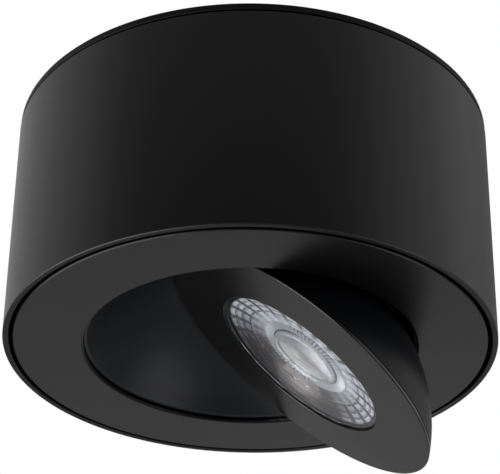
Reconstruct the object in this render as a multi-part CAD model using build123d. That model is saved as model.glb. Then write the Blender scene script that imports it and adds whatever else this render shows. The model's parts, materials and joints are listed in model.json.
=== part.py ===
"""Surface-mounted downlight: a drum on the ceiling with a dome head that swivels in it.

Millimetres. The origin is at the centre of the ceiling face, +Z is up, and the drum hangs below it.
The head slides in a spherical cup about a virtual pivot, a point on the drum's axis below the ring.
Pieces of the head and the cup are drawn from that pivot, with the head flush with the ring, and are
then tilted to the rest pose, where the light leans towards -X.
"""

import os
from math import asin, atan2, cos, hypot, pi, radians, sin, sqrt

from build123d import *

# Swivel: the pivot and the head's face set the head's sphere, and the glide on it the cup's
pivot_drop = 19.2  # from the ring's face down to the pivot
face_border = 15.6  # width of the head's flat face round the lens
glide_thickness = 1.27
rest_tilt = 37.9  # degrees from flush, as the light is aimed at rest
tilt_limit = 40.0  # degrees from flush
spin_limit = 177.5  # degrees each way

# Front ring and the swivel cup's seat on it
ring_thickness = 1.0
ring_skirt_drop = 0.2  # below the retainer's top
ring_skirt_wall = 1.5
ring_margin = 1.8  # from the bosses to the ring's edge
ring_boss_radius = 2.5
ring_edge = 0.25  # chamfer of the outer edge
ring_round = 0.7  # of the edge of its opening
ring_overhang = 0.2  # under the cup's mouth
cup_wall = 1.4
cup_round = 0.8  # of the edge of its mouth
cup_flange_width = 8.6
cup_flange_thickness = 1.2
slip_thickness = 0.3
slip_inset = 0.6
flange_play = 0.2  # under the retainer
retainer_thickness = 1.0
retainer_overlap = 5.0  # over the cup's flange
retainer_inset = 0.3  # from the ring's skirt
boss_skin = 0.6  # the ring's metal left under a blind hole

# Turning stop: a pin in the ring and, opposite it, a lug on the cup's flange
stop_angle = -90.0  # degrees from +X to the pin
stop_pin_radius = 0.9
stop_pin_gap = 0.2
stop_play = 0.1
lug_reach = 1.2  # past the flange, and as far into it
lug_clearance = 0.4  # to the bosses

# Tilting joint: stem, slot, glides, spring and nut
slide_gap = 0.3  # between a glide and the cup
bond_gap = 0.05  # between curved faces that bear on each other
stem_radius = 4.0
stem_bore = 2.4
stem_flange_radius = 8.0
stem_flange_thickness = 1.2
stem_pad_radius = 9.0
stem_pad_depth = 0.6
stem_overrun = 1.0  # past the nut
glide_radius = 12.0
tongue_half_width = 5.5
tongue_half_angle = 5.0  # degrees along the slot, before its round ends
tongue_end_angle = 0.6  # degrees of slot left past the tongue at each limit
slider_length = 28.0
slider_width = 20.0
slider_corner = 5.0
slider_rise = 3.7  # above the cup at its middle
spring_thickness = 0.6
spring_rise = 1.6
spring_radius = 8.5
nut_across_flats = 13.0
nut_height = 4.0
nut_edge = 0.6

# Head: bezel, shell and lens
bezel_rim = 0.8
head_seam = 0.3
seam_depth = 1.2
face_edge = 0.15  # chamfer
spigot_wall = 1.7
spigot_height = 4.0
shell_wall = 1.5
shell_collar = 4.5  # width of the shell's lower edge
lens_radius = 22.8
lens_play = 0.4
lens_recess = 0.55
lens_depth = 7.6
lens_flange_width = 1.8
lens_flange_thickness = 1.4
lens_side_inset = 0.6  # of the faceted side where it leaves the flange
lens_back_radius = 12.6
lens_bulge = 1.1  # of the side, outwards from a cone
lens_facets = 32
lens_short_rows = 3  # of facets, by the flange; long flutes run from there to the back
lens_short_row = 0.9
lens_well_mouth = 9.6
lens_well_floor = 8.8
lens_well_depth = 3.0
lens_well_crown = 1.5
serration_count = 64  # grooves across the rim round the well
serration_depth = 0.3
serration_width = 0.6
serration_margin = 0.4  # to both edges of the rim

# Head: light engine
led_gap = 1.0  # from the lens to the phosphor
phosphor_radius = 6.9
phosphor_thickness = 0.25
led_base_side = 14.6
led_base_corner = 0.4
led_base_thickness = 0.4
board_radius = 15.0
board_thickness = 1.6
board_hole_radius = 1.2  # for the leads
board_hole_offset = 12.4
pad_thickness = 0.5
led_holder_radius = 14.6
led_holder_height = 1.6
led_holder_mouth = 8.5
led_holder_flare = 1.0
holder_screw_count = 2
holder_screw_turn = 45.0  # degrees from +X to the first
holder_screw_circle = 12.4
holder_screw_radius = 0.9
holder_screw_head = 1.6
lens_holder_wall = 1.4  # outside the lens's flange
lens_holder_lip = 1.4  # under the flange
lens_holder_play = 0.1
lens_holder_lap = 0.3  # the holder stops short of the bezel
lens_holder_room = 0.6  # round the heat sink's screws
sink_base = 3.0
sink_gap = 0.4
sink_fins = 12
fin_thickness = 1.2
fin_start = 10.5
fin_gap = 0.4
lead_hole_radius = 3.3
sink_screw_count = 3
sink_screw_turn = 60.0  # degrees from +X to the first
sink_screw_circle = 18.5
sink_screw_radius = 1.25
sink_screw_head_radius = 2.2
sink_screw_head_height = 1.4
sink_screw_grip = 2.8
shell_boss_radius = 2.6

# Drum, ceiling plate and twist lock
ring_gap = 1.0  # shadow gap round the ring
drum_wall = 1.4
drum_top = 2.0
drum_edge = 0.2  # chamfer
plate_thickness = 1.7
plate_inset = 0.1
plate_seam = 0.5
plate_step_inset = 2.2
plate_edge = 0.15  # chamfer
cable_hole_radius = 11.0
grommet_bore = 5.5
grommet_lip_radius = 13.5
grommet_lip = 1.5
ceiling_slot_spacing = 60.0
ceiling_slot_length = 12.0
ceiling_slot_width = 5.0
lock_count = 3
lock_turn = 30.0  # degrees from +X to the first
lock_twist = 18.0  # degrees
lock_stud_radius = 2.0
lock_head_radius = 4.0
lock_head_height = 1.5
lock_play = 0.3
lock_margin = 3.5
lock_edge = 1.0  # of the tray's rim, outside the lock's holes
flange_margin = 1.5

# Posts between the tray and the ring, and the screws between them
post_count = 3
post_turn = 60.0  # degrees from +X to the first post
post_across_flats = 6.0
screw_radius = 1.5
screw_play = 0.1
screw_head_radius = 2.8
screw_head_height = 1.8
post_screw_depth = 10.0
post_bore_overrun = 1.5  # past the screw's tip

# Gear tray and what stands in it
tray_gauge = 1.0
tray_margin = 2.0
tray_rim_inset = 1.6
stem_headroom = 1.0
driver_length = 56.0
driver_width = 32.0
driver_height = 17.0
driver_headroom = 1.4
driver_offset = 14.0
driver_lid_height = 1.8
driver_lid_inset = 0.6
driver_corner = 2.0
driver_ear = 5.0
driver_ear_width = 8.0
driver_ear_thickness = 2.0
terminal_offset = 17.0
terminal_length = 28.0
terminal_width = 14.0
terminal_height = 11.0
terminal_corner = 1.0
terminal_poles = 3
terminal_pitch = 8.5
terminal_bore = 1.9
terminal_bore_height = 4.5
terminal_screw_radius = 1.6
terminal_screw_spacing = 8.0
terminal_screw_inset = 1.0
terminal_slot_width = 1.2
terminal_slot_depth = 5.0
side_offset = 27.0  # of the clamp and the lead grommet from the middle
clamp_width = 7.0
clamp_span = 20.4
clamp_gauge = 1.7
clamp_bore = 3.8
clamp_screw_spacing = 15.6
small_screw_radius = 1.2
small_head_radius = 2.0
small_head_height = 1.4
lead_grommet_bore = 2.4
lead_grommet_wall = 1.2
lead_grommet_lip = 1.4
lead_grommet_lip_height = 1.2
earth_offset = 33.0
earth_tag_radius = 3.4
earth_tag_thickness = 0.6
earth_tag_tail = 9.0
earth_tag_tail_width = 3.0

# Worked out: radii from the pivot and across the drum
lens_flange_radius = lens_radius + lens_flange_width
face_radius = lens_radius + lens_play + face_border
head_sphere = hypot(face_radius, pivot_drop)
shell_inner = head_sphere - shell_wall
glide_inner = head_sphere + bond_gap
cup_sphere = glide_inner + glide_thickness + slide_gap
cup_outer = cup_sphere + cup_wall
opening_radius = sqrt(cup_sphere**2 - pivot_drop**2)
cup_flange_radius = opening_radius + cup_flange_width
stop_circle = cup_flange_radius + stop_pin_gap + stop_pin_radius
boss_edge = cup_flange_radius + lug_reach + lug_clearance
post_circle = boss_edge + ring_boss_radius
tray_inner = hypot(driver_length / 2, driver_offset + driver_width / 2) + tray_margin
tray_outer = tray_inner + tray_gauge
flange_inner = tray_outer + flange_margin
lock_circle = tray_outer + lock_margin + lock_head_radius

# Worked out: the ring holds its bosses, and the tray's rim, inside the drum, the lock's holes
lock_needs = lock_circle + lock_head_radius + lock_play + lock_edge + tray_rim_inset - ring_gap
ring_radius = max(post_circle + ring_boss_radius + ring_margin, lock_needs)
skirt_inner = ring_radius - ring_skirt_wall
drum_inner = ring_radius + ring_gap
drum_radius = drum_inner + drum_wall
plate_radius = drum_radius - plate_inset

# Worked out: heights above the pivot
bezel_back = pivot_drop + bezel_rim + head_seam
collar_inner = sqrt(head_sphere**2 - bezel_back**2) - shell_collar
lens_front = pivot_drop + lens_recess
lens_flange_back = bezel_back + lens_flange_thickness
lens_back = lens_front + lens_depth
led_level = lens_back + led_gap
board_level = led_level + phosphor_thickness + led_base_thickness
pad_level = board_level + board_thickness
sink_level = pad_level + pad_thickness
sink_top = sink_level + sink_base
stem_pad_level = sqrt(shell_inner**2 - stem_pad_radius**2) - stem_pad_depth
fin_top = stem_pad_level - stem_flange_thickness - fin_gap
slider_level = cup_outer + slider_rise
spring_level = slider_level + spring_rise
nut_level = spring_level + nut_height
stem_tip = nut_level + stem_overrun
cup_foot = pivot_drop + ring_thickness + slip_thickness

# Worked out: heights in the drum, down from the ceiling
flange_top = -(plate_thickness + plate_seam)
flange_bottom = flange_top - drum_top
rim_bottom = flange_bottom - tray_gauge
floor_top = flange_top - driver_headroom - driver_height
floor_bottom = floor_top - tray_gauge
pivot_level = floor_bottom - stem_headroom - stem_tip
ring_bottom = pivot_level + pivot_drop
ring_top = ring_bottom + ring_thickness
boss_top = ring_top + slip_thickness + cup_flange_thickness + flange_play
retainer_top = boss_top + retainer_thickness


def evenly(count, first):
    """Angles evenly round the axis."""
    return [first + 360 / count * i for i in range(count)]


post_angles = evenly(post_count, post_turn)
boss_screw_angles = evenly(post_count, post_turn - 180 / post_count)
lock_angles = evenly(lock_count, lock_turn)
sink_screw_angles = evenly(sink_screw_count, sink_screw_turn)
holder_screw_angles = evenly(holder_screw_count, holder_screw_turn)


def on_sphere(radius, height):
    """The point of a half circle about the pivot at a height, as (radius, height)."""
    return (sqrt(max(radius**2 - height**2, 0)), height)


def sphere_arc(radius, start_height, end_height):
    """The arc of that half circle between two heights."""
    middle = (asin(start_height / radius) + asin(end_height / radius)) / 2
    through = (radius * cos(middle), radius * sin(middle))
    return ThreePointArc(on_sphere(radius, start_height), through, on_sphere(radius, end_height))


def lip_arc(radius, foot, rounding):
    """The rounded edge between a flat foot and the inside of a spherical wall, from the wall down."""
    centre_height = foot + rounding
    centre_radius = sqrt((radius + rounding) ** 2 - centre_height**2)
    share = radius / (radius + rounding)
    turn = (atan2(centre_height, centre_radius) + pi / 2) / 2
    through = (centre_radius - rounding * cos(turn), centre_height - rounding * sin(turn))
    return ThreePointArc((centre_radius * share, centre_height * share), through, (centre_radius, foot))


def crown_arc(radius, base, rise):
    """The arc of a shallow spherical crown, from its rim to its top on the axis."""
    sphere = (radius**2 + rise**2) / (2 * rise)
    middle = asin(radius / sphere) / 2
    through = (sphere * sin(middle), base + rise - sphere + sphere * cos(middle))
    return ThreePointArc((radius, base), through, (0, base + rise))


def turned(*outline):
    """The solid that a closed outline of (radius, height) points and curves makes round Z."""
    return revolve(Plane.XZ * make_face(list(outline)), Axis.Z)


def turned_points(*points):
    return turned(Polyline(*points, close=True))


def rod(radius, bottom, top, x=0, y=0):
    """An upright cylinder between two heights."""
    return Pos(x, y, bottom) * extrude(Circle(radius), top - bottom)


def prism(outline, bottom, top):
    return Pos(0, 0, bottom) * extrude(outline, top - bottom)


def at_angle(circle, angle):
    """X and Y of a point on a circle about the axis."""
    return circle * cos(radians(angle)), circle * sin(radians(angle))


def rods(radius, bottom, top, circle, angles):
    return [rod(radius, bottom, top, *at_angle(circle, angle)) for angle in angles]


def spread(shape, circle, angles):
    """Copies of a shape, moved out to a circle and turned with it."""
    return [Rot(0, 0, angle) * Pos(circle, 0, 0) * shape for angle in angles]


def group(pieces):
    return Compound(children=list(pieces))


def hexagon(across_flats):
    return RegularPolygon(across_flats / 2, 6, major_radius=False)


def hung(shape):
    """A piece drawn from the pivot, moved to its place in the drum."""
    return Pos(0, 0, pivot_level) * shape


def aimed(shape):
    """A piece of the head, tilted to the rest pose."""
    return hung(Rot(0, rest_tilt, 0) * shape)


# Ceiling plate and twist lock


def mounting_plate():
    step = plate_radius - plate_step_inset
    plate = turned_points(
        (cable_hole_radius, 0),
        (plate_radius - plate_edge, 0),
        (plate_radius, -plate_edge),
        (plate_radius, -plate_thickness + plate_edge),
        (plate_radius - plate_edge, -plate_thickness),
        (step, -plate_thickness),
        (step, flange_top),
        (flange_inner, flange_top),
        (flange_inner, -plate_thickness),
        (cable_hole_radius, -plate_thickness),
    )
    slot = prism(SlotOverall(ceiling_slot_length, ceiling_slot_width), -plate_thickness, 0)
    for side in (-1, 1):
        plate -= Pos(side * ceiling_slot_spacing / 2, 0, 0) * slot
    for hole in rods(lock_stud_radius + bond_gap, flange_top, 0, lock_circle, lock_angles):
        plate -= hole
    return plate


def cable_grommet():
    return turned_points(
        (grommet_bore, -plate_edge),
        (cable_hole_radius, -plate_edge),
        (cable_hole_radius, -plate_thickness),
        (grommet_lip_radius, -plate_thickness),
        (grommet_lip_radius, -plate_thickness - grommet_lip / 2),
        (grommet_lip_radius - grommet_lip / 2, -plate_thickness - grommet_lip),
        (grommet_bore, -plate_thickness - grommet_lip),
    )


def lock_studs():
    """Headed studs in the plate; the heads catch under the tray's rim."""
    under = rim_bottom - lock_play
    stud = turned_points(
        (0, -plate_edge),
        (lock_stud_radius, -plate_edge),
        (lock_stud_radius, under),
        (lock_head_radius, under),
        (lock_head_radius, under - lock_head_height / 2),
        (lock_head_radius - lock_head_height / 2, under - lock_head_height),
        (0, under - lock_head_height),
    )
    return group(spread(stud, lock_circle, lock_angles))


def lock_keyhole(bottom, top):
    """A way in for a stud's head and the curved slot that it is twisted along."""
    path = CenterArc((0, 0), lock_circle, 0, lock_twist)
    slot = prism(SlotArc(path, 2 * (lock_stud_radius + lock_play)), bottom, top)
    entry = rod(lock_head_radius + lock_play, bottom, top, *at_angle(lock_circle, lock_twist))
    return slot + entry


# Drum


def countersunk_cut():
    """The hole for a countersunk frame screw in the drum's top."""
    mouth = screw_head_radius + screw_play
    neck = screw_radius + screw_play
    return turned_points(
        (0, flange_top),
        (mouth, flange_top),
        (neck, flange_top - mouth + neck),
        (neck, rim_bottom),
        (0, rim_bottom),
    )


def drum_housing():
    drum = turned_points(
        (flange_inner, flange_top),
        (drum_radius - drum_edge, flange_top),
        (drum_radius, flange_top - drum_edge),
        (drum_radius, ring_bottom + drum_edge),
        (drum_radius - drum_edge, ring_bottom),
        (drum_inner + drum_edge, ring_bottom),
        (drum_inner, ring_bottom + drum_edge),
        (drum_inner, flange_bottom),
        (flange_inner, flange_bottom),
    )
    for angle in lock_angles:
        drum -= Rot(0, 0, angle) * lock_keyhole(flange_bottom, flange_top)
    for cut in spread(countersunk_cut(), post_circle, post_angles):
        drum -= cut
    return drum


def frame_screws():
    """Countersunk screws through the drum and the tray into the posts."""
    tip = rim_bottom - post_screw_depth
    top = flange_top - bond_gap
    screw = turned_points(
        (0, top),
        (screw_head_radius, top),
        (screw_radius, top - screw_head_radius + screw_radius),
        (screw_radius, tip),
        (0, tip),
    )
    return group(spread(screw, post_circle, post_angles))


def standoff_posts():
    """Hexagonal posts; a stud at the foot goes through the retainer into the ring."""
    bore_end = rim_bottom - post_screw_depth - post_bore_overrun
    body = prism(hexagon(post_across_flats), retainer_top, rim_bottom)
    body -= rod(screw_radius + bond_gap, bore_end, rim_bottom)
    stud = rod(screw_radius, ring_bottom + boss_skin + bond_gap, retainer_top)
    return group(spread(body + stud, post_circle, post_angles))


# Gear tray and what stands in it


def gear_tray():
    rim = drum_inner - tray_rim_inset
    tray = turned_points(
        (0, floor_bottom),
        (tray_outer, floor_bottom),
        (tray_outer, rim_bottom),
        (rim, rim_bottom),
        (rim, flange_bottom),
        (tray_inner, flange_bottom),
        (tray_inner, floor_top),
        (0, floor_top),
    )
    for angle in lock_angles:
        tray -= Rot(0, 0, angle) * lock_keyhole(rim_bottom, flange_bottom)
    for hole in rods(screw_radius + screw_play, rim_bottom, flange_bottom, post_circle, post_angles):
        tray -= hole
    for place in tray_screw_places():
        tray -= rod(small_screw_radius + bond_gap, floor_bottom, floor_top, *place)
    lead_hole = lead_grommet_bore + lead_grommet_wall
    return tray - rod(lead_hole, floor_bottom, floor_top, -side_offset, -terminal_offset)


def driver_screw_places():
    reach = (driver_length + driver_ear) / 2
    return [(-reach, driver_offset), (reach, driver_offset)]


def clamp_screw_places():
    half = clamp_screw_spacing / 2
    return [(side_offset, -terminal_offset - half), (side_offset, -terminal_offset + half)]


def tray_screw_places():
    return driver_screw_places() + clamp_screw_places() + [(0, -earth_offset)]


def small_screw(place, seat):
    """A pan-head screw on a seat height, ending flush under the tray's floor."""
    head = turned_points(
        (0, seat),
        (small_head_radius, seat),
        (small_head_radius, seat + small_head_height / 2),
        (small_head_radius / 2, seat + small_head_height),
        (0, seat + small_head_height),
    )
    return Pos(*place) * (head + rod(small_screw_radius, floor_bottom, seat))


def driver_case():
    top = floor_top + driver_height - driver_lid_height
    ear_top = floor_top + driver_ear_thickness
    outline = RectangleRounded(driver_length, driver_width, driver_corner)
    ear_outline = RectangleRounded(driver_length + 2 * driver_ear, driver_ear_width, driver_corner)
    case = prism(outline, floor_top, top) + prism(ear_outline, floor_top, ear_top)
    case = Pos(0, driver_offset) * case
    for place in driver_screw_places():
        case -= rod(small_screw_radius + bond_gap, floor_top, ear_top, *place)
    return case


def driver_lid():
    top = floor_top + driver_height
    length = driver_length - 2 * driver_lid_inset
    width = driver_width - 2 * driver_lid_inset
    lid = prism(RectangleRounded(length, width, driver_corner), top - driver_lid_height, top)
    return Pos(0, driver_offset) * chamfer(edges_at(lid, top), driver_lid_inset)


def edges_at(shape, height):
    """The edges that lie at one height."""
    return shape.edges().filter_by_position(Axis.Z, height - bond_gap, height + bond_gap)


def driver_screws():
    seat = floor_top + driver_ear_thickness
    return group(small_screw(place, seat) for place in driver_screw_places())


def terminal_pole_places():
    first = -(terminal_poles - 1) / 2
    return [(first + i) * terminal_pitch for i in range(terminal_poles)]


def terminal_block():
    top = floor_top + terminal_height
    block = prism(RectangleRounded(terminal_length, terminal_width, terminal_corner), floor_top, top)
    bore_level = floor_top + terminal_bore_height
    bore = Pos(0, 0, bore_level) * Rot(90, 0, 0) * Cylinder(terminal_bore, terminal_width)
    for x in terminal_pole_places():
        block -= Pos(x, 0, 0) * bore
        for side in (-1, 1):
            y = side * terminal_screw_spacing / 2
            block -= rod(terminal_bore, bore_level, top, x, y)
    gap = prism(Rectangle(terminal_slot_width, terminal_width), -terminal_slot_depth, 0)
    for x in terminal_pole_places()[1:]:
        block -= Pos(x - terminal_pitch / 2, 0, top) * gap
    return Pos(0, -terminal_offset, 0) * block


def terminal_screws():
    bottom = floor_top + terminal_bore_height
    top = floor_top + terminal_height - terminal_screw_inset
    half = terminal_screw_spacing / 2
    return group(
        rod(terminal_screw_radius, bottom, top, x, -terminal_offset + side * half)
        for x in terminal_pole_places()
        for side in (-1, 1)
    )


def cable_clamp():
    """A strap with an arch over the mains cable, which enters from the ceiling."""
    outer = clamp_bore + clamp_gauge
    strap = Rectangle(clamp_span, clamp_gauge, align=(Align.CENTER, Align.MIN)) + Circle(outer)
    strap -= Circle(clamp_bore)
    strap -= Rectangle(2 * outer, outer, align=(Align.CENTER, Align.MAX))
    arch = extrude(Plane.YZ * strap, clamp_width / 2, both=True)
    for side in (-1, 1):
        y = side * clamp_screw_spacing / 2
        arch -= rod(small_screw_radius + bond_gap, 0, clamp_gauge, 0, y)
    return Pos(side_offset, -terminal_offset, floor_top) * arch


def clamp_screws():
    seat = floor_top + clamp_gauge
    return group(small_screw(place, seat) for place in clamp_screw_places())


def earth_tag():
    tail = Rectangle(earth_tag_tail, earth_tag_tail_width, align=(Align.MIN, Align.CENTER))
    tag = Circle(earth_tag_radius) + tail - Circle(small_screw_radius + bond_gap)
    return Pos(0, -earth_offset) * prism(tag, floor_top, floor_top + earth_tag_thickness)


def earth_screw():
    return small_screw((0, -earth_offset), floor_top + earth_tag_thickness)


def lead_grommet():
    """The bush through which the light engine's leads leave the tray."""
    neck = lead_grommet_bore + lead_grommet_wall
    lip = neck + lead_grommet_lip
    bush = turned_points(
        (lead_grommet_bore, floor_bottom - lead_grommet_lip_height),
        (lip, floor_bottom - lead_grommet_lip_height),
        (lip, floor_bottom),
        (neck, floor_bottom),
        (neck, floor_top),
        (lip, floor_top),
        (lip, floor_top + lead_grommet_lip_height),
        (lead_grommet_bore, floor_top + lead_grommet_lip_height),
    )
    return Pos(-side_offset, -terminal_offset) * bush


# Front ring and the turning joint


def front_ring():
    """The flat ring with its skirt and bosses; the edge of its opening is rounded below."""
    bore = opening_radius - ring_overhang
    skirt_top = retainer_top - ring_skirt_drop
    lip_middle = ring_round * (1 - sqrt(0.5))
    lip = ThreePointArc(
        (bore, ring_bottom + ring_round),
        (bore + lip_middle, ring_bottom + lip_middle),
        (bore + ring_round, ring_bottom),
    )
    ring = turned(
        lip,
        Polyline(
            lip @ 1,
            (ring_radius - ring_edge, ring_bottom),
            (ring_radius, ring_bottom + ring_edge),
            (ring_radius, skirt_top),
            (skirt_inner, skirt_top),
            (skirt_inner, ring_top),
            (bore, ring_top),
            lip @ 0,
        ),
    )
    angles = post_angles + boss_screw_angles
    for boss in rods(ring_boss_radius, ring_top, boss_top, post_circle, angles):
        ring += boss
    for hole in rods(screw_radius + bond_gap, ring_bottom + boss_skin, boss_top, post_circle, angles):
        ring -= hole
    x, y = at_angle(stop_circle, stop_angle)
    return ring - rod(stop_pin_radius, ring_bottom + boss_skin, ring_top, x, y)


def stop_pin():
    x, y = at_angle(stop_circle, stop_angle)
    return rod(stop_pin_radius, ring_bottom + boss_skin, boss_top - stop_play, x, y)


def slip_ring():
    return turned_points(
        (opening_radius + slip_inset, ring_top),
        (cup_flange_radius - slip_inset, ring_top),
        (cup_flange_radius - slip_inset, ring_top + slip_thickness),
        (opening_radius + slip_inset, ring_top + slip_thickness),
    )


def swivel_retainer():
    inner = cup_flange_radius - retainer_overlap
    outer = skirt_inner - retainer_inset
    ring = rod(outer, boss_top, retainer_top) - rod(inner, boss_top, retainer_top)
    angles = post_angles + boss_screw_angles
    for hole in rods(screw_radius + screw_play, boss_top, retainer_top, post_circle, angles):
        ring -= hole
    return ring


def retainer_screws():
    screw = turned_points(
        (0, retainer_top + screw_head_height),
        (screw_head_radius / 2, retainer_top + screw_head_height),
        (screw_head_radius, retainer_top + screw_head_height / 2),
        (screw_head_radius, retainer_top),
        (screw_radius, retainer_top),
        (screw_radius, ring_bottom + boss_skin + bond_gap),
        (0, ring_bottom + boss_skin + bond_gap),
    )
    return group(spread(screw, post_circle, boss_screw_angles))


def slot_form(half_width, start_angle, end_angle, inner, outer):
    """Part of a spherical wall along an arc in XZ, with round ends; angles are from the pole."""
    near = radians(90 - start_angle)
    far = radians(90 - end_angle)
    middle = (near + far) / 2
    inner_arc = ThreePointArc(*[(inner * cos(a), inner * sin(a)) for a in (near, middle, far)])
    outer_arc = ThreePointArc(*[(outer * cos(a), outer * sin(a)) for a in (near, middle, far)])
    sides = [Line(inner_arc @ 0, outer_arc @ 0), Line(inner_arc @ 1, outer_arc @ 1)]
    form = extrude(Plane.XZ * make_face([inner_arc, outer_arc, *sides]), half_width, both=True)
    for angle in (start_angle, end_angle):
        form += Rot(0, angle, 0) * rod(half_width, inner, outer)
    return form


def swivel_cup():
    """The bowl that the head slides in: a flange on the slip ring, an arc slot and a stop lug."""
    flange_level = cup_foot + cup_flange_thickness
    lip = lip_arc(cup_sphere, cup_foot, cup_round)
    cup = turned(
        lip,
        sphere_arc(cup_sphere, (lip @ 0).Y, cup_sphere),
        Line((0, cup_sphere), (0, cup_outer)),
        sphere_arc(cup_outer, flange_level, cup_outer),
        Polyline(
            on_sphere(cup_outer, flange_level),
            (cup_flange_radius, flange_level),
            (cup_flange_radius, cup_foot),
            lip @ 1,
        ),
    )
    half_width = tongue_half_width + slide_gap
    over = tongue_half_angle + tongue_end_angle
    cup -= slot_form(half_width, -over, tilt_limit + over, cup_sphere - cup_wall, cup_outer + cup_wall)
    lug_half = stop_circle * sin(radians(180 - spin_limit)) - stop_pin_radius - stop_play
    lug = Pos(cup_flange_radius, 0) * Rectangle(2 * lug_reach, 2 * lug_half)
    return hung(cup + Rot(0, 0, stop_angle + 180) * prism(lug, cup_foot, flange_level))


# Tilting joint


def swivel_stem():
    stem = turned_points(
        (stem_bore, stem_pad_level - stem_flange_thickness),
        (stem_flange_radius, stem_pad_level - stem_flange_thickness),
        (stem_flange_radius, stem_pad_level),
        (stem_radius, stem_pad_level),
        (stem_radius, stem_tip),
        (stem_bore, stem_tip),
    )
    return aimed(stem)


def cap_between(inner, outer, radius, hole):
    """A round pad between two spheres about the pivot, with a hole for the stem."""
    inner_rim = sqrt(inner**2 - radius**2)
    outer_rim = sqrt(outer**2 - radius**2)
    inner_hole = sqrt(inner**2 - hole**2)
    outer_hole = sqrt(outer**2 - hole**2)
    return turned(
        sphere_arc(inner, inner_rim, inner_hole),
        Line((hole, inner_hole), (hole, outer_hole)),
        sphere_arc(outer, outer_rim, outer_hole),
        Line((radius, inner_rim), (radius, outer_rim)),
    )


def inner_glide():
    hole = stem_radius + bond_gap
    return aimed(cap_between(glide_inner, glide_inner + glide_thickness, glide_radius, hole))


def outer_slider():
    """The saddle on the cup's back, with the tongue that keeps it straight in the slot."""
    seat = cup_outer + slide_gap
    saddle = prism(RectangleRounded(slider_length, slider_width, slider_corner), pivot_drop, slider_level)
    saddle -= Sphere(seat)
    tongue = slot_form(
        tongue_half_width,
        -tongue_half_angle,
        tongue_half_angle,
        cup_sphere + slide_gap,
        seat + slide_gap,
    )
    return aimed(saddle + tongue - rod(stem_radius + bond_gap, pivot_drop, slider_level))


def disc_spring():
    bore = stem_radius + slide_gap
    spring = turned_points(
        (spring_radius, slider_level),
        (spring_radius, slider_level + spring_thickness),
        (bore, spring_level),
        (bore, spring_level - spring_thickness),
    )
    return aimed(spring)


def stem_nut():
    nut = prism(hexagon(nut_across_flats), spring_level, nut_level)
    corner = nut_across_flats / 2
    cone = turned_points(
        (0, spring_level),
        (corner, spring_level),
        (corner + nut_edge, spring_level + nut_edge),
        (corner + nut_edge, nut_level - nut_edge),
        (corner, nut_level),
        (0, nut_level),
    )
    return aimed((nut & cone) - rod(stem_radius + bond_gap, spring_level, nut_level))


# Head


def head_shell():
    """The dome: a spherical wall with a threaded collar, a pad for the stem and screw bosses."""
    collar_top = sqrt(shell_inner**2 - collar_inner**2)
    pad_top = stem_pad_level + stem_pad_depth
    hole = stem_radius + bond_gap
    hole_top = sqrt(head_sphere**2 - hole**2)
    shell = turned(
        sphere_arc(head_sphere, bezel_back, hole_top),
        Polyline(
            (hole, hole_top),
            (hole, stem_pad_level),
            (stem_pad_radius, stem_pad_level),
            (stem_pad_radius, pad_top),
        ),
        sphere_arc(shell_inner, collar_top, pad_top),
        Polyline(
            (collar_inner, collar_top),
            (collar_inner, bezel_back),
            on_sphere(head_sphere, bezel_back),
        ),
    )
    bosses = rods(shell_boss_radius, sink_top, head_sphere, sink_screw_circle, sink_screw_angles)
    ball = Sphere(head_sphere - shell_wall / 2)
    for boss in bosses:
        shell += boss & ball
    hole_end = sink_top + sink_screw_grip + bond_gap
    for cut in rods(sink_screw_radius, sink_top, hole_end, sink_screw_circle, sink_screw_angles):
        shell -= cut
    return aimed(shell)


def head_bezel():
    """The flat face with its spigot, which screws into the shell's collar; a fine seam shows."""
    bore = lens_radius + lens_play
    rim_back = pivot_drop + bezel_rim
    neck = face_radius - seam_depth
    spigot = collar_inner - bond_gap
    edge_level = pivot_drop + face_edge
    bezel = turned(
        sphere_arc(head_sphere, edge_level, rim_back),
        Polyline(
            on_sphere(head_sphere, rim_back),
            (neck, rim_back),
            (neck, bezel_back),
            (spigot, bezel_back),
            (spigot, bezel_back + spigot_height),
            (spigot - spigot_wall, bezel_back + spigot_height),
            (spigot - spigot_wall, bezel_back),
            (bore, bezel_back),
            (bore, edge_level),
            (bore + face_edge, pivot_drop),
            (on_sphere(head_sphere, edge_level)[0] - face_edge, pivot_drop),
            on_sphere(head_sphere, edge_level),
        ),
    )
    return aimed(bezel)


def lens_side(row):
    """Radius and height of the lens's side where a row of facets starts: a cone with a bulge."""
    height = lens_back - lens_flange_back
    part = min(row, lens_short_rows) * lens_short_row / height
    if row > lens_short_rows:
        part = 1
    start = lens_radius - lens_side_inset
    radius = start + (lens_back_radius - start) * part
    return radius + lens_bulge * sin(pi * part), lens_flange_back + height * part


def facet_ring(row):
    """One row of flat facets, turned half a facet against the row before it."""
    sections = []
    for radius, height in (lens_side(row), lens_side(row + 1)):
        sections.append(Pos(0, 0, height) * RegularPolygon(radius, lens_facets))
    return Rot(0, 0, 180 / lens_facets * row) * loft(sections, ruled=True)


def lens_grooves():
    """V-grooves across the rim of the lens's back, pointing at the axis."""
    start = lens_well_mouth + serration_margin
    end = lens_back_radius - serration_margin
    half = serration_width / 2
    tip = lens_back - serration_depth
    notch = make_face(Polyline((-half, lens_back), (0, tip), (half, lens_back), close=True))
    groove = Pos(start, 0, 0) * extrude(Plane.YZ * notch, end - start)
    return spread(groove, 0, evenly(serration_count, 0))


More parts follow.
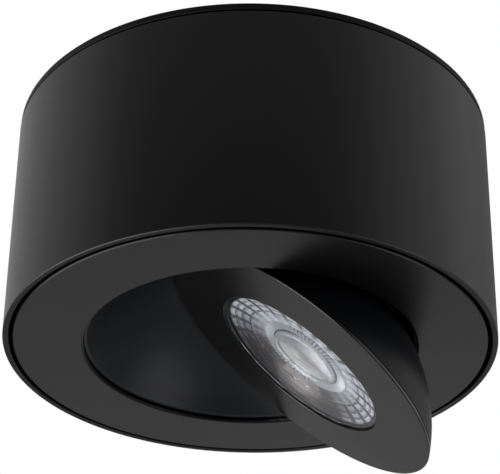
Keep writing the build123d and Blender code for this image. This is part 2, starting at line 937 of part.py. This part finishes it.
def lens():
    """A solid collimating lens: flat front, flange, faceted side and a well over the LED."""
    body = turned_points(
        (0, lens_front),
        (lens_radius, lens_front),
        (lens_radius, bezel_back),
        (lens_flange_radius, bezel_back),
        (lens_flange_radius, lens_flange_back),
        (0, lens_flange_back),
    )
    for row in range(lens_short_rows + 1):
        body += facet_ring(row)
    floor = lens_back - lens_well_depth
    crown = floor + lens_well_crown
    well = turned(
        Polyline((0, lens_back), (lens_well_mouth, lens_back), (lens_well_floor, floor)),
        crown_arc(lens_well_floor, floor, lens_well_crown),
        Line((0, crown), (0, lens_back)),
    )
    return aimed(body - well - lens_grooves())


def lens_holder():
    """The cone that holds the lens's flange against the bezel, from the heat sink."""
    lap = lens_flange_radius + lens_holder_play
    outer = lap + lens_holder_wall
    top_inner = sink_screw_circle + sink_screw_head_radius + lens_holder_room
    cone = turned_points(
        (lap - lens_holder_lip, lens_flange_back),
        (lap, lens_flange_back),
        (lap, bezel_back + lens_holder_lap),
        (outer, bezel_back + lens_holder_lap),
        (outer, lens_flange_back),
        (top_inner + lens_holder_wall, sink_level),
        (top_inner, sink_level),
    )
    return aimed(cone)


def phosphor_disc():
    return aimed(rod(phosphor_radius, led_level, led_level + phosphor_thickness))


def led_base():
    outline = RectangleRounded(led_base_side, led_base_side, led_base_corner)
    return aimed(prism(outline, led_level + phosphor_thickness, board_level))


def led_board():
    board = rod(board_radius, board_level, pad_level)
    return aimed(board - rod(board_hole_radius, board_level, pad_level, 0, board_hole_offset))


def thermal_pad():
    return aimed(rod(board_radius, pad_level, sink_level))


def led_holder():
    """The white frame round the LED; its mouth flares towards the lens."""
    bottom = board_level - led_holder_height
    frame = turned_points(
        (led_holder_mouth, bottom + led_holder_flare),
        (led_holder_mouth + led_holder_flare, bottom),
        (led_holder_radius, bottom),
        (led_holder_radius, board_level),
        (led_holder_mouth, board_level),
    )
    window = led_base_side + 2 * bond_gap
    outline = RectangleRounded(window, window, led_base_corner)
    frame -= prism(outline, led_level + phosphor_thickness, board_level)
    cut = rod(holder_screw_radius + bond_gap, bottom, board_level) + holder_screw_sink(bond_gap)
    for hole in spread(cut, holder_screw_circle, holder_screw_angles):
        frame -= hole
    return aimed(frame)


def holder_screw_sink(play):
    """The countersunk head of a holder screw, or the cut for it."""
    bottom = board_level - led_holder_height
    wide = holder_screw_head + play
    return turned_points((0, bottom), (wide, bottom), (0, bottom + wide))


def holder_screws():
    bottom = board_level - led_holder_height
    screw = rod(holder_screw_radius, bottom, board_level) + holder_screw_sink(0)
    return aimed(group(spread(screw, holder_screw_circle, holder_screw_angles)))


def heat_sink():
    """A disc under radial fins, trimmed to the dome."""
    inside = shell_inner - sink_gap
    sink = rod(inside, sink_level, sink_top)
    outline = Rectangle(inside - fin_start, fin_thickness, align=(Align.MIN, Align.CENTER))
    for fin in spread(prism(outline, sink_top, fin_top), fin_start, evenly(sink_fins, 180 / sink_fins)):
        sink += fin
    sink = sink & Sphere(inside)
    sink -= rod(lead_hole_radius, sink_level, sink_top)
    hole_radius = sink_screw_radius + bond_gap
    for hole in rods(hole_radius, sink_level, sink_top, sink_screw_circle, sink_screw_angles):
        sink -= hole
    return aimed(sink)


def heat_sink_screws():
    screw = rod(sink_screw_radius, sink_level, sink_top + sink_screw_grip)
    screw += rod(sink_screw_head_radius, sink_level - sink_screw_head_height, sink_level)
    return aimed(group(spread(screw, sink_screw_circle, sink_screw_angles)))


pieces = {
    "mounting_plate": mounting_plate,
    "cable_grommet": cable_grommet,
    "lock_studs": lock_studs,
    "drum_housing": drum_housing,
    "frame_screws": frame_screws,
    "standoff_posts": standoff_posts,
    "gear_tray": gear_tray,
    "driver_case": driver_case,
    "driver_lid": driver_lid,
    "driver_screws": driver_screws,
    "terminal_block": terminal_block,
    "terminal_screws": terminal_screws,
    "cable_clamp": cable_clamp,
    "clamp_screws": clamp_screws,
    "earth_tag": earth_tag,
    "earth_screw": earth_screw,
    "lead_grommet": lead_grommet,
    "front_ring": front_ring,
    "stop_pin": stop_pin,
    "slip_ring": slip_ring,
    "swivel_retainer": swivel_retainer,
    "retainer_screws": retainer_screws,
    "swivel_cup": swivel_cup,
    "swivel_stem": swivel_stem,
    "inner_glide": inner_glide,
    "outer_slider": outer_slider,
    "disc_spring": disc_spring,
    "stem_nut": stem_nut,
    "head_shell": head_shell,
    "head_bezel": head_bezel,
    "lens": lens,
    "lens_holder": lens_holder,
    "phosphor_disc": phosphor_disc,
    "led_base": led_base,
    "led_board": led_board,
    "thermal_pad": thermal_pad,
    "led_holder": led_holder,
    "holder_screws": holder_screws,
    "heat_sink": heat_sink,
    "heat_sink_screws": heat_sink_screws,
}

os.makedirs("parts", exist_ok=True)
for name, make in pieces.items():
    export_step(make(), f"parts/{name}.step")
print(f"drum {2 * drum_radius:.2f} across, {-ring_bottom:.2f} tall, pivot at {pivot_level:.2f}")
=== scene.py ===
"""Looks of the ceiling downlight: its finishes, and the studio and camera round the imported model.

Metres, in the model's frame: the origin is at the centre of the ceiling face and +Z is up.
"""

import json
import math
from itertools import product

import bpy
from mathutils import Matrix, Vector


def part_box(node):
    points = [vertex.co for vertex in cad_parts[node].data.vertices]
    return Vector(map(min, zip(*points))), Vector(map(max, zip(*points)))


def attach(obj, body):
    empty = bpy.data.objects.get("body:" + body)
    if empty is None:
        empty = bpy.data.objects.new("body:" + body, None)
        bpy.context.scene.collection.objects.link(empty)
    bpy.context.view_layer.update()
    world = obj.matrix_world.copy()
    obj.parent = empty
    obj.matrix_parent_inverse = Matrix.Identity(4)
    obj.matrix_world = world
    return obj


MM = 0.001

# Camera: where it stands round the middle of the ring's face, and where it looks
CAMERA_DISTANCE = 454.4 * MM
CAMERA_AZIMUTH = math.radians(5.225)
CAMERA_BELOW = math.radians(27.233)
LOOK_ASIDE = math.radians(-0.056)
LOOK_UP = math.radians(30.747)
CAMERA_ROLL = math.radians(0.756)
CAMERA_LENS_MM = 134.26
CAMERA_SENSOR_MM = 36
CAMERA_NEAREST, CAMERA_FARTHEST = 0.01, 20  # what it sees lies between them

# Studio
FLOOR_LEVEL = -0.62
FLOOR_SIZE = 6.0
WORLD_WHITE = 1.0  # what the camera, gloss and glass show
WORLD_AMBIENT = 0.7  # what lights the object
FLAG_DISTANCE = 1.6
FLAG_LEFT, FLAG_RIGHT = -70.5, 54  # its ends, in degrees round the object from the camera's side
FLAG_HEIGHT = 1.8
FLAG_STEPS = 24
CARD_DISTANCE = 1.5

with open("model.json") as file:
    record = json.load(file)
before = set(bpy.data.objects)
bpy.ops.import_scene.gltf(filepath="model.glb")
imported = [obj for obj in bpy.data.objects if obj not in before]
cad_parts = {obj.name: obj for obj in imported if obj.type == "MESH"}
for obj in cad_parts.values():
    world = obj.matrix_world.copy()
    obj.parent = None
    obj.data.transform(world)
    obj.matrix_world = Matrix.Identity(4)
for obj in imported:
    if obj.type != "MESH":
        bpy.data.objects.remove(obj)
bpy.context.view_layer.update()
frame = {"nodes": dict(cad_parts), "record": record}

# The head's own coordinates: from the swivel's pivot, and with the head flush with the ring
tilt_joint = next(j for j in frame["record"]["behaviour"]["joints"] if j["name"] == "tilt")
REST_TILT = -tilt_joint["range_deg"][0]
aim = Matrix.Translation(tilt_joint["pos_m"]) @ Matrix.Rotation(math.radians(REST_TILT), 4, "Y")

FLAT_WITHIN = 0.01 * MM  # of a piece's front


def flat_band(node, axis):
    """The radii from an axis between which a turned piece's front is flat."""
    corners = [axis.inverted() @ vertex.co for vertex in frame["nodes"][node].data.vertices]
    front = min(corner.z for corner in corners)
    radii = [math.hypot(corner.x, corner.y) for corner in corners if corner.z < front + FLAT_WITHIN]
    return min(radii), max(radii)


def mesh_object(name, points, faces, materials):
    """A mesh in the scene, in metres, with its materials in order."""
    mesh = bpy.data.meshes.new(name)
    mesh.from_pydata(points, [], faces)
    for material in materials:
        mesh.materials.append(material)
    made = bpy.data.objects.new(name, mesh)
    bpy.context.scene.collection.objects.link(made)
    return made


# Materials


class Finish:
    """A procedural material: a Principled shader fed by textures at real scale."""

    def __init__(self, name, **sockets):
        self.material = bpy.data.materials.new(name)
        self.material.use_nodes = True
        self.tree = self.material.node_tree
        self.shader = self.tree.nodes["Principled BSDF"]
        for socket, value in sockets.items():
            self.shader.inputs[socket.replace("_", " ")].default_value = value
        self.place = self.node("ShaderNodeTexCoord").outputs["Object"]

    def node(self, kind, **settings):
        made = self.tree.nodes.new(kind)
        for name, value in settings.items():
            setattr(made, name, value)
        return made

    def link(self, source, target):
        self.tree.links.new(source, target)

    def stretched(self, scale):
        """The place on the object, scaled along each axis."""
        mapping = self.node("ShaderNodeMapping")
        mapping.inputs["Scale"].default_value = scale
        self.link(self.place, mapping.inputs["Vector"])
        return mapping.outputs["Vector"]

    def noise(self, size, detail=2.0, stretch=None):
        """Noise whose lumps are about size across, in metres."""
        texture = self.node("ShaderNodeTexNoise")
        texture.inputs["Scale"].default_value = 1 / size
        texture.inputs["Detail"].default_value = detail
        self.link(self.stretched(stretch) if stretch else self.place, texture.inputs["Vector"])
        return texture.outputs["Fac"]

    def ramp(self, source, low, high, start=0.3, end=0.7):
        """One colour up to start and another from end on, with a blend between them."""
        ramp = self.node("ShaderNodeValToRGB")
        for element, position, colour in zip(ramp.color_ramp.elements, (start, end), (low, high)):
            element.position = position
            element.color = (*colour, 1)
        self.link(source, ramp.inputs["Fac"])
        return ramp.outputs["Color"]

    def span(self, source, low, high, start=0.3, end=0.7):
        """One number up to start and another from end on, with a slope between them."""
        span = self.node("ShaderNodeMapRange")
        for name, value in (("From Min", start), ("From Max", end), ("To Min", low), ("To Max", high)):
            span.inputs[name].default_value = value
        self.link(source, span.inputs["Value"])
        return span.outputs["Result"]

    def maths(self, operation, source, value=0.0):
        """One step of arithmetic on a texture's output, with a fixed second number."""
        step = self.node("ShaderNodeMath", operation=operation)
        self.link(source, step.inputs[0])
        step.inputs[1].default_value = value
        return step.outputs["Value"]

    def radius(self, centre, axis):
        """Distance from an axis, in metres."""
        value = self.place
        for operation, other in (("SUBTRACT", centre), ("CROSS_PRODUCT", axis), ("LENGTH", None)):
            step = self.node("ShaderNodeVectorMath", operation=operation)
            self.link(value, step.inputs[0])
            if other:
                step.inputs[1].default_value = other
            value = step.outputs["Value" if operation == "LENGTH" else "Vector"]
        return value

    def colour(self, source, low, high):
        """A base colour that varies between two colours."""
        self.link(self.ramp(source, low, high), self.shader.inputs["Base Color"])

    def roughness(self, source, low, high):
        """A roughness that varies between two numbers."""
        self.link(self.span(source, low, high), self.shader.inputs["Roughness"])

    def bump(self, *heights):
        """Bumps laid over each other, each as (texture output, height in metres)."""
        normal = None
        for output, height in heights:
            bump = self.node("ShaderNodeBump")
            bump.inputs["Strength"].default_value = 1.0
            bump.inputs["Distance"].default_value = height
            self.link(output, bump.inputs["Height"])
            if normal:
                self.link(normal, bump.inputs["Normal"])
            normal = bump.outputs["Normal"]
        self.link(normal, self.shader.inputs["Normal"])


PAINT_CLOUD, ORANGE_PEEL, PAINT_GRAIN = 22 * MM, 0.9 * MM, 0.25 * MM
SPARK_GRAIN = 0.3 * MM
DRAWN_GRAIN = 0.4 * MM
LIP_SHINE = 0.2  # of the flat front's
LIP_WIDTH = 0.3 * MM  # over which the shine falls


def shade(colour, share):
    """A share of a colour's brightness."""
    return tuple(channel * share for channel in colour)


def dull_lips(paint, specular, node, axis):
    """Less shine where a turned piece's front rounds off on either side of its flat band."""
    inner, outer = flat_band(node, axis)
    radius = paint.radius(axis.translation, axis.to_3x3() @ Vector((0, 0, 1)))
    away = paint.maths("ABSOLUTE", paint.maths("SUBTRACT", radius, (inner + outer) / 2))
    edge = (outer - inner) / 2
    shine = paint.span(away, specular, specular * LIP_SHINE, edge - LIP_WIDTH / 2, edge + LIP_WIDTH / 2)
    paint.link(shine, paint.shader.inputs["Specular IOR Level"])


def powder_coat(name, colour, roughness=0.42, specular=0.215, height=0.004 * MM, face=None):
    """Satin black paint with a fine orange peel and a slow change of tone.

    A face, given as (piece, axis), has duller lips than its flat front.
    """
    paint = Finish(name, Specular_IOR_Level=specular)
    if face:
        dull_lips(paint, specular, *face)
    grain = paint.noise(PAINT_GRAIN)
    paint.colour(paint.noise(PAINT_CLOUD, detail=3), shade(colour, 0.9), shade(colour, 1.1))
    paint.roughness(grain, roughness * 0.92, roughness * 1.08)
    paint.bump((paint.noise(ORANGE_PEEL), height), (grain, height / 3))
    return paint.material


def moulded(name, colour, roughness=0.5):
    """Moulded plastic with a fine sparked texture."""
    plastic = Finish(name)
    plastic.colour(plastic.noise(9 * MM, detail=3), shade(colour, 0.95), colour)
    grain = plastic.noise(SPARK_GRAIN)
    plastic.roughness(grain, roughness - 0.06, roughness + 0.06)
    plastic.bump((grain, 0.006 * MM))
    return plastic.material


def metal(name, colour, roughness=0.35, stretch=(1, 1, 12)):
    """Bare or plated metal with fine drawn lines and faint stains."""
    bare = Finish(name, Metallic=1.0)
    bare.colour(bare.noise(6 * MM, detail=4), shade(colour, 0.86), colour)
    lines = bare.noise(DRAWN_GRAIN, stretch=stretch)
    bare.roughness(lines, roughness - 0.08, roughness + 0.1)
    bare.bump((lines, 0.003 * MM))
    return bare.material


def rubber(name, colour):
    """Soft rubber with a dusty bloom."""
    soft = Finish(name, Specular_IOR_Level=0.3)
    soft.colour(soft.noise(3 * MM, detail=4), shade(colour, 0.8), shade(colour, 1.6))
    grain = soft.noise(0.2 * MM, detail=3)
    soft.roughness(grain, 0.62, 0.8)
    soft.bump((grain, 0.008 * MM))
    return soft.material


def clear_acrylic(name):
    """Clear acrylic with a slight haze and faint moulding waves."""
    clear = Finish(name, IOR=1.49, Transmission_Weight=1.0)
    clear.colour(clear.noise(5 * MM), (0.93, 0.95, 0.97), (0.97, 0.98, 1.0))
    clear.roughness(clear.noise(1.5 * MM), 0.10, 0.14)
    clear.bump((clear.noise(4 * MM, detail=1), 0.004 * MM))
    return clear.material


def phosphor_layer(name):
    """The unlit phosphor: pale warm grey with settled grains."""
    layer = Finish(name)
    layer.colour(layer.noise(0.35 * MM, detail=3), (0.18, 0.168, 0.143), (0.22, 0.21, 0.192))
    layer.roughness(layer.noise(0.8 * MM), 0.5, 0.7)
    return layer.material


BLACK = (0.0011, 0.0011, 0.0016)

finishes = {
    "body_black": powder_coat("body_paint", BLACK),
    "plate_black": powder_coat("plate_paint", shade(BLACK, 0.6), roughness=0.55, specular=0.1),
    "cup_black": powder_coat("cup_paint", (0.0014, 0.0021, 0.0038), specular=0.19),
    "head_black": powder_coat("head_paint", (0.0008, 0.0012, 0.0024), roughness=0.4, specular=0.11),
    "tray_steel": metal("tray_zinc", (0.60, 0.61, 0.62)),
    "post_steel": metal("turned_steel", (0.62, 0.61, 0.60), roughness=0.28),
    "screw_steel": metal("screw_zinc", (0.55, 0.56, 0.58), roughness=0.3, stretch=(1, 1, 4)),
    "driver_white": moulded("driver_plastic", (0.72, 0.72, 0.70)),
    "terminal_white": moulded("terminal_plastic", (0.66, 0.66, 0.63), roughness=0.42),
    "clamp_grey": moulded("clamp_plastic", (0.16, 0.16, 0.17)),
    "brass_parts": metal("brass", (0.70, 0.53, 0.27), roughness=0.3),
    "grommet_rubber": rubber("grommet_rubber", (0.022, 0.022, 0.022)),
    "slip_nylon": moulded("slip_nylon", (0.012, 0.012, 0.013), roughness=0.6),
    "lens_clear": clear_acrylic("lens_acrylic"),
    "holder_black": moulded("holder_plastic", (0.02, 0.02, 0.021), roughness=0.45),
    "phosphor": phosphor_layer("phosphor_layer"),
    "led_ceramic": moulded("led_ceramic", (0.80, 0.80, 0.78), roughness=0.6),
    "board_white": moulded("board_face", (0.80, 0.80, 0.79), roughness=0.35),
    "pad_grey": rubber("thermal_pad", (0.30, 0.31, 0.33)),
    "led_frame_white": moulded("led_frame", (0.66, 0.66, 0.64), roughness=0.35),
    "sink_aluminium": metal("cast_aluminium", (0.66, 0.67, 0.68), roughness=0.45, stretch=(1, 1, 1)),
}

# Pieces whose paint shines otherwise than the rest of their slot
own_finishes = {
    "head_bezel": powder_coat(
        "face_paint",
        (0.0003, 0.0003, 0.0004),
        roughness=0.24,
        specular=0.58,
        height=0.001 * MM,
        face=("head_bezel", aim),
    ),
    "front_ring": powder_coat(
        "ring_paint",
        (0.0005, 0.0005, 0.0007),
        roughness=0.33,
        specular=0.4,
        face=("front_ring", Matrix.Identity(4)),
    ),
}

for part in frame["record"]["subparts"]:
    node = frame["nodes"][part["node"]]
    node.data.materials.clear()
    node.data.materials.append(own_finishes.get(part["node"], finishes[part["material_slot"]]))


# Optic: painted reflections and glints on the lens's facets and rim, drawn in the head's own coordinates
# in mm, from the swivel's pivot and with the head flush with the ring

BACK_RIM_WITHIN = 0.01  # of the lens's back

lens_points = [aim.inverted() @ vertex.co / MM for vertex in frame["nodes"]["lens"].data.vertices]
lens_front = min(point.z for point in lens_points)
lens_back = max(point.z for point in lens_points)
back_rim = [point for point in lens_points if point.z >= lens_back - BACK_RIM_WITHIN]
back_radius = max(math.hypot(point.x, point.y) for point in back_rim)

OPTIC_PLAY = 0.12  # inside the lens's own surface
FLANGE_BACK = 1.95  # behind the lens's front
SIDE_START = 22.2  # the side's radius at the flange
SIDE_BULGE = 1.1
FACETS = 24  # round the lens, in each row
SHORT_ROWS = 3  # of facets, behind the flange
SHORT_ROW = 1.3  # one row's height
FLUTE_STEPS = 10  # along a flute, from the short rows to the back
PILLOW = 0.1  # how far a facet bulges

TICKS = 64
TICK_RIDGE = 0.3
TICK_LEVEL = 0.45  # before the lens's back
TICK_INNER, TICK_OUTER = 9.9, 12.2

# Painted light: the first colour is a painted reflection of light on the lens's facets and rim; the two
# smoky ones are the painted dark seen through the facets face on
PAINTED_GLINT = (0.88, 0.92, 0.98)
PAINTED_DARK_VIEW = (0.050, 0.045, 0.047)
PAINTED_DARK_VIEW_PINK = (0.13, 0.10, 0.095)

# Tones of painted glints, as shares of the bright painted colour, numbered from 0 in DASH, FLUTE and the
# ticks
FACET_GLINT_TONES = {
    "lens_facet": 1.0,
    "lens_facet_side": 0.7,
    "lens_facet_edge": 0.5,
    "lens_facet_gap": 0.17,
}
TICK_GLINT_TONES = {"lens_tick": 0.75, "lens_tick_side": 0.3}

# A short facet's painted glint tones: strips from its side to its middle, and each strip from front to
# back
DASH = (3, 3, 3, 3), (2, 0, 0, 2), (1, 0, 0, 3)
# A flute's painted glint tones: the same strips, and each strip's front and back half
FLUTE = (2, 1), (1, 0), (0, 0)
ACROSS = 2 * len(DASH)  # strips in one facet
DASH_STEPS = len(DASH[0])


def facet_painted_reflection(name, colour):
    """A facet's painted reflection: a bright colour where it is seen at a slant, painted in for the
    glass's total reflection, and else a smoky dark, painted in for what shows through it.
    """
    facet = Finish(name, Metallic=0.25)
    slant = facet.node("ShaderNodeLayerWeight").outputs["Facing"]
    mix = facet.node("ShaderNodeMix", data_type="RGBA")
    smoke = facet.ramp(facet.noise(5 * MM, detail=1), PAINTED_DARK_VIEW, PAINTED_DARK_VIEW_PINK, start=0.52, end=0.72)
    facet.link(facet.span(slant, 0, 1, start=0.1, end=0.34), mix.inputs["Factor"])
    facet.link(smoke, mix.inputs["A"])
    facet.link(facet.ramp(facet.noise(2 * MM, detail=1), shade(colour, 0.9), colour), mix.inputs["B"])
    facet.link(mix.outputs["Result"], facet.shader.inputs["Base Color"])
    facet.roughness(facet.noise(1 * MM, detail=1), 0.22, 0.28)
    return facet.material


def rim_painted_glint(name, colour):
    """The optic's rim with a pale colour painted in for the light it reflects, softly shining and a little
    cloudy.
    """
    pale = Finish(name, Metallic=0.25)
    pale.colour(pale.noise(2 * MM), shade(colour, 0.88), colour)
    pale.roughness(pale.noise(1 * MM, detail=1), 0.3, 0.36)
    return pale.material


def head_mesh(name, points, faces, materials, marks, smooth=False):
    """A mesh drawn in the head's coordinates, riding on the head; marks tell each face's material."""
    made = mesh_object(name, [aim @ (Vector(point) * MM) for point in points], faces, materials)
    made.data.polygons.foreach_set("material_index", marks)
    made.data.polygons.foreach_set("use_smooth", [smooth] * len(faces))
    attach(made, "head")


def round_axis(radius, angle, level):
    """A point at a radius and an angle round the lens's axis."""
    return radius * math.cos(angle), radius * math.sin(angle), level


def side_radius(part):
    """The lens's side: a cone with a bulge, from the flange (0) to the back rim (1)."""
    return SIDE_START + (back_radius - SIDE_START) * part + SIDE_BULGE * math.sin(math.pi * part)


def fullness(share):
    """How far a facet's pillow has risen at a share of its width or height: 0 at the ends, 1 midway."""
    return 1 - (2 * share - 1) ** 2


def facet_mirror(materials):
    """The lens's side from within: short rows of pillowed facets, then long flutes to the back."""
    height = lens_back - lens_front - FLANGE_BACK
    ends = [SHORT_ROW * row / height for row in range(SHORT_ROWS + 1)] + [1]
    points, faces, marks = [], [], []
    for row, (start, end) in enumerate(zip(ends, ends[1:])):
        short = row < SHORT_ROWS
        steps = DASH_STEPS if short else FLUTE_STEPS
        for cell in range(FACETS):
            base = len(points)
            for i, j in product(range(ACROSS + 1), range(steps + 1)):
                u, v = i / ACROSS, j / steps
                part = start + (end - start) * v
                swell = PILLOW * fullness(u) * (fullness(v) if short else 1)
                radius = side_radius(part) * math.cos(math.pi / FACETS) - OPTIC_PLAY - swell
                level = lens_front + FLANGE_BACK + height * part - OPTIC_PLAY * v
                points.append(round_axis(radius, 2 * math.pi / FACETS * (cell + u), level))
            for i, j in product(range(ACROSS), range(steps)):
                corner = base + i * (steps + 1) + j
                faces.append((corner, corner + 1, corner + steps + 2, corner + steps + 1))
                strip = min(i, ACROSS - 1 - i)
                # each strip takes one of the painted glint tones
                marks.append(DASH[strip][j] if short else FLUTE[strip][2 * j >= steps])
    head_mesh("lens_facet_mirror", points, faces, materials, marks, smooth=True)


def tick_ring(materials):
    """The serrated rim of the lens's back: radial ridges round the well."""
    points, faces, marks = [], [], []
    level = lens_back - TICK_LEVEL
    for i in range(2 * TICKS):
        top = level - (TICK_RIDGE if i % 2 else 0)
        points += [round_axis(radius, math.pi / TICKS * i, top) for radius in (TICK_INNER, TICK_OUTER)]
    count = len(points)
    for i in range(2 * TICKS):
        corner = 2 * i
        faces.append((corner, corner + 1, (corner + 3) % count, (corner + 2) % count))
        # alternate ridge faces take the bright and the dim painted glint tone
        marks.append(i % 2)
    head_mesh("lens_tick_ring", points, faces, materials, marks)


facet_mirror([facet_painted_reflection(name, shade(PAINTED_GLINT, share)) for name, share in FACET_GLINT_TONES.items()])
tick_ring([rim_painted_glint(name, shade(PAINTED_GLINT, share)) for name, share in TICK_GLINT_TONES.items()])


# Studio: a pale floor, a white surround, a dark cloth behind the camera and grey cards past the object


def plain_surface(name, grey, roughness):
    """Matt paint, card or cloth of one even grey."""
    surface = Finish(name, Specular_IOR_Level=0.2)
    colour = (grey, grey, grey)
    surface.colour(surface.noise(400 * MM, detail=3), shade(colour, 0.99), colour)
    surface.roughness(surface.noise(5 * MM), roughness, roughness + 0.1)
    return surface.material


def stage_mesh(name, points, faces, material, in_view=False):
    """A mesh of the studio. Out of view, it still shows in gloss and through glass."""
    made = mesh_object(name, points, faces, [material])
    made.visible_camera = in_view


def floor():
    half = FLOOR_SIZE / 2
    corners = [(x * half, y * half, FLOOR_LEVEL) for x, y in ((-1, -1), (1, -1), (1, 1), (-1, 1))]
    paint = plain_surface("floor_paint", grey=0.86, roughness=0.6)
    stage_mesh("floor", corners, [(0, 1, 2, 3)], paint, in_view=True)


def dark_flag():
    """A dark curved cloth behind the camera."""
    points = []
    for i in range(FLAG_STEPS + 1):
        angle = CAMERA_AZIMUTH + math.radians(FLAG_LEFT + (FLAG_RIGHT - FLAG_LEFT) * i / FLAG_STEPS)
        x, y = FLAG_DISTANCE * math.sin(angle), -FLAG_DISTANCE * math.cos(angle)
        points += [(x, y, FLOOR_LEVEL), (x, y, FLOOR_LEVEL + FLAG_HEIGHT)]
    faces = [(2 * i, 2 * i + 2, 2 * i + 3, 2 * i + 1) for i in range(FLAG_STEPS)]
    stage_mesh("dark_flag", points, faces, plain_surface("flag_cloth", grey=0.02, roughness=0.9))


def grey_card(name, azimuths, levels, grey, distance=CARD_DISTANCE):
    """A grey card behind the object, with its ends in degrees anticlockwise from straight behind."""
    points = []
    for azimuth in azimuths:
        angle = math.radians(azimuth)
        x, y = -distance * math.sin(angle), distance * math.cos(angle)
        points += [(x, y, level) for level in levels]
    stage_mesh(name, points, [(0, 2, 3, 1)], plain_surface(name + "_paint", grey, roughness=0.9))


def surround():
    """A white world where it is seen, directly, in gloss or through glass, and a softer one for light."""
    world = bpy.data.worlds.new("studio")
    bpy.context.scene.world = world
    world.use_nodes = True
    nodes, links = world.node_tree.nodes, world.node_tree.links
    background = nodes["Background"]
    background.inputs["Color"].default_value = (1, 1, 1, 1)
    rays = nodes.new("ShaderNodeLightPath")
    seen = rays.outputs["Is Camera Ray"]
    for name in ("Is Glossy Ray", "Is Transmission Ray"):
        either = nodes.new("ShaderNodeMath")
        either.operation = "MAXIMUM"
        links.new(seen, either.inputs[0])
        links.new(rays.outputs[name], either.inputs[1])
        seen = either.outputs["Value"]
    strength = nodes.new("ShaderNodeMapRange")
    strength.inputs["To Min"].default_value = WORLD_AMBIENT
    strength.inputs["To Max"].default_value = WORLD_WHITE
    links.new(seen, strength.inputs["Value"])
    links.new(strength.outputs["Result"], background.inputs["Strength"])


def soft_light(name, place, target, size, power):
    """A rectangular lamp turned to its target, with its power in watts."""
    light = bpy.data.lights.new(name, "AREA")
    light.shape = "RECTANGLE"
    light.size, light.size_y = size
    light.energy = power
    lamp = bpy.data.objects.new(name, light)
    lamp.location = place
    lamp.rotation_euler = (Vector(target) - Vector(place)).to_track_quat("-Z", "Y").to_euler()
    bpy.context.scene.collection.objects.link(lamp)


def camera():
    """The photograph's viewpoint, from below the ring and slightly to the right."""
    ring_centre = Vector((0, 0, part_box("front_ring")[0].z))
    out = Vector((0, -math.cos(CAMERA_BELOW), -math.sin(CAMERA_BELOW))) * CAMERA_DISTANCE
    flat = math.cos(LOOK_UP)
    look = Vector((math.sin(LOOK_ASIDE) * flat, math.cos(LOOK_ASIDE) * flat, math.sin(LOOK_UP)))
    turn = Matrix.Rotation(CAMERA_AZIMUTH, 3, "Z")
    look = turn @ look
    right = look.cross(Vector((0, 0, 1))).normalized()
    up = right.cross(look)
    tilted_right = right * math.cos(CAMERA_ROLL) + up * math.sin(CAMERA_ROLL)
    tilted_up = up * math.cos(CAMERA_ROLL) - right * math.sin(CAMERA_ROLL)
    data = bpy.data.cameras.new("camera")
    data.sensor_width = CAMERA_SENSOR_MM
    data.lens = CAMERA_LENS_MM
    data.clip_start, data.clip_end = CAMERA_NEAREST, CAMERA_FARTHEST
    made = bpy.data.objects.new("camera", data)
    made.matrix_world = Matrix.Translation(ring_centre + turn @ out) @ Matrix(
        (tilted_right, tilted_up, -look)
    ).transposed().to_4x4()
    bpy.context.scene.collection.objects.link(made)
    bpy.context.scene.camera = made


floor()
dark_flag()
grey_card("left_card", azimuths=(2, 62), levels=(-0.58, 0.36), grey=0.48)
grey_card("right_card", azimuths=(-48, -6), levels=(0.3, 1.5), grey=0.5)
grey_card("low_card", azimuths=(-48, -4), levels=(FLOOR_LEVEL, -0.36), grey=0.45, distance=0.95)
surround()
soft_light(
    "lower_left_light", place=(-0.42, -0.12, -0.54), target=(0, 0, -0.07), size=(0.8, 0.6), power=11.5
)
soft_light(
    "lower_right_light", place=(0.66, -0.15, -0.54), target=(0, 0, -0.05), size=(0.55, 0.55), power=4
)
camera()
bpy.context.scene.view_settings.view_transform = "Standard"
